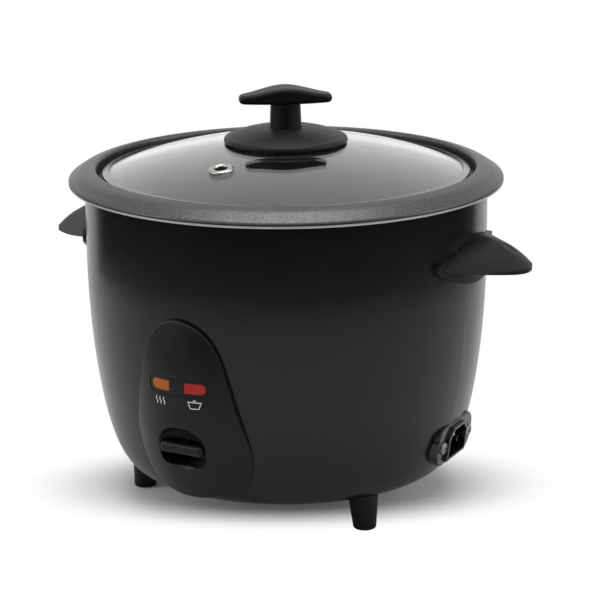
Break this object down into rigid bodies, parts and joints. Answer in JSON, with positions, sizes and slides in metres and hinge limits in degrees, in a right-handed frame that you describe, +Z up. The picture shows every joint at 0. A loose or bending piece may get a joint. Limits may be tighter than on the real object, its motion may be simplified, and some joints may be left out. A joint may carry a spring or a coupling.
{
  "type": "rice cooker",
  "caption": "Round electric rice cooker with a black shell, lift-out pot, glass lid with a T knob, two side handles and a one-lever cook switch.",
  "frame": {"origin": "on the table under the middle of the body", "axes": "+Z up, the control panel faces -Y, the right handle and the mains inlet are on the +X side"},
  "size_m": [0.3008, 0.255, 0.2449],
  "materials": {
    "black_enamel": "gloss black enamel",
    "ring_metal": "satin",
    "liner_metal": "plain sheet",
    "base_steel": "zinc plated",
    "screw_steel": "zinc plated",
    "black_plastic": "fine moulded grain",
    "inlet_plastic": "gloss black",
    "blade_metal": "nickel plated",
    "amber_lens": "translucent amber",
    "red_lens": "translucent red",
    "lamp_glass": "clear",
    "strip_steel": "plain strip",
    "insulator": "pale insulating block",
    "contact_metal": "spring bronze",
    "plate_metal": "cast and turned",
    "element_steel": "oxidised sheath",
    "sensor_metal": "spun",
    "ferrite": "sintered",
    "mica": "mica strip",
    "live_insulation": "brown",
    "neutral_insulation": "blue",
    "earth_insulation": "green",
    "heater_insulation": "white sleeve",
    "pot_metal": "grey non-stick satin",
    "lid_glass": "clear tempered",
    "band_steel": "polished stainless",
    "eyelet_chrome": "plated",
    "washer_rubber": "grey silicone"
  },
  "bodies": {
    "body": {"body_shell": "black_enamel", "upper_ring": "ring_metal", "inner_liner": "liner_metal", "base_plate": "base_steel", "base_screws": "screw_steel", "foot_front_left": "black_plastic", "foot_front_right": "black_plastic", "foot_rear": "black_plastic", "foot_screws": "screw_steel", "handle_left": "black_plastic", "handle_right": "black_plastic", "handle_screws": "screw_steel", "control_panel": "black_plastic", "panel_screws": "screw_steel", "amber_lens": "amber_lens", "red_lens": "red_lens", "neon_lamps": "lamp_glass", "lever_bracket": "strip_steel", "lever_pin": "screw_steel", "switch_block": "insulator", "contact_leaves": "contact_metal", "heating_plate": "plate_metal", "heating_element": "element_steel", "heater_terminals": "blade_metal", "plate_spacers": "strip_steel", "plate_screws": "screw_steel", "sensor_guide": "strip_steel", "sensor_spring": "strip_steel", "magnet_spring": "strip_steel", "keep_warm_band": "mica", "thermal_fuse": "element_steel", "fuse_clip": "strip_steel", "inlet_housing": "inlet_plastic", "inlet_pins": "blade_metal", "inlet_screws": "screw_steel", "live_wire": "live_insulation", "neutral_wire": "neutral_insulation", "heater_wire": "heater_insulation", "earth_wire": "earth_insulation"},
    "lever": {"lever_arm": "strip_steel", "switch_key": "black_plastic"},
    "magnet_carrier": {"magnet": "ferrite", "magnet_rod": "contact_metal"},
    "sensor": {"sensor_cap": "sensor_metal", "soft_ferrite": "ferrite"},
    "pot": {"inner_pot": "pot_metal"},
    "lid": {"glass_lid": "lid_glass", "lid_band": "band_steel", "vent_eyelet": "eyelet_chrome", "knob_base": "black_plastic", "lid_knob": "black_plastic", "knob_screw": "screw_steel", "knob_washer": "washer_rubber"}
  },
  "joints": [
    {"name": "pot_lift", "type": "slide", "parent": "body", "child": "pot", "axis": [0, 0, 1], "range_m": [0, 0.14]},
    {"name": "lid_lift", "type": "slide", "parent": "pot", "child": "lid", "axis": [0, 0, 1], "range_m": [0, 0.1]},
    {"name": "cook_lever", "type": "hinge", "parent": "body", "child": "lever", "pos_m": [0, -0.06, 0.028], "axis": [1, 0, 0], "range_deg": [0, 6], "stiffness_Nm_per_rad": 0.5, "springref_deg": -2.86},
    {"name": "magnet_slide", "type": "slide", "parent": "body", "child": "magnet_carrier", "axis": [0, 0, 1], "range_m": [0, 0.0064], "deforming": ["magnet_spring"]},
    {"name": "sensor_press", "type": "slide", "parent": "body", "child": "sensor", "axis": [0, 0, 1], "range_m": [-0.0015, 0], "stiffness_N_per_m": 300, "springref_m": 0.002, "deforming": ["sensor_spring"]}
  ],
  "couplings": [
    {"joint": "magnet_slide", "follows": "cook_lever", "m_per_rad": 0.06043}
  ]
}
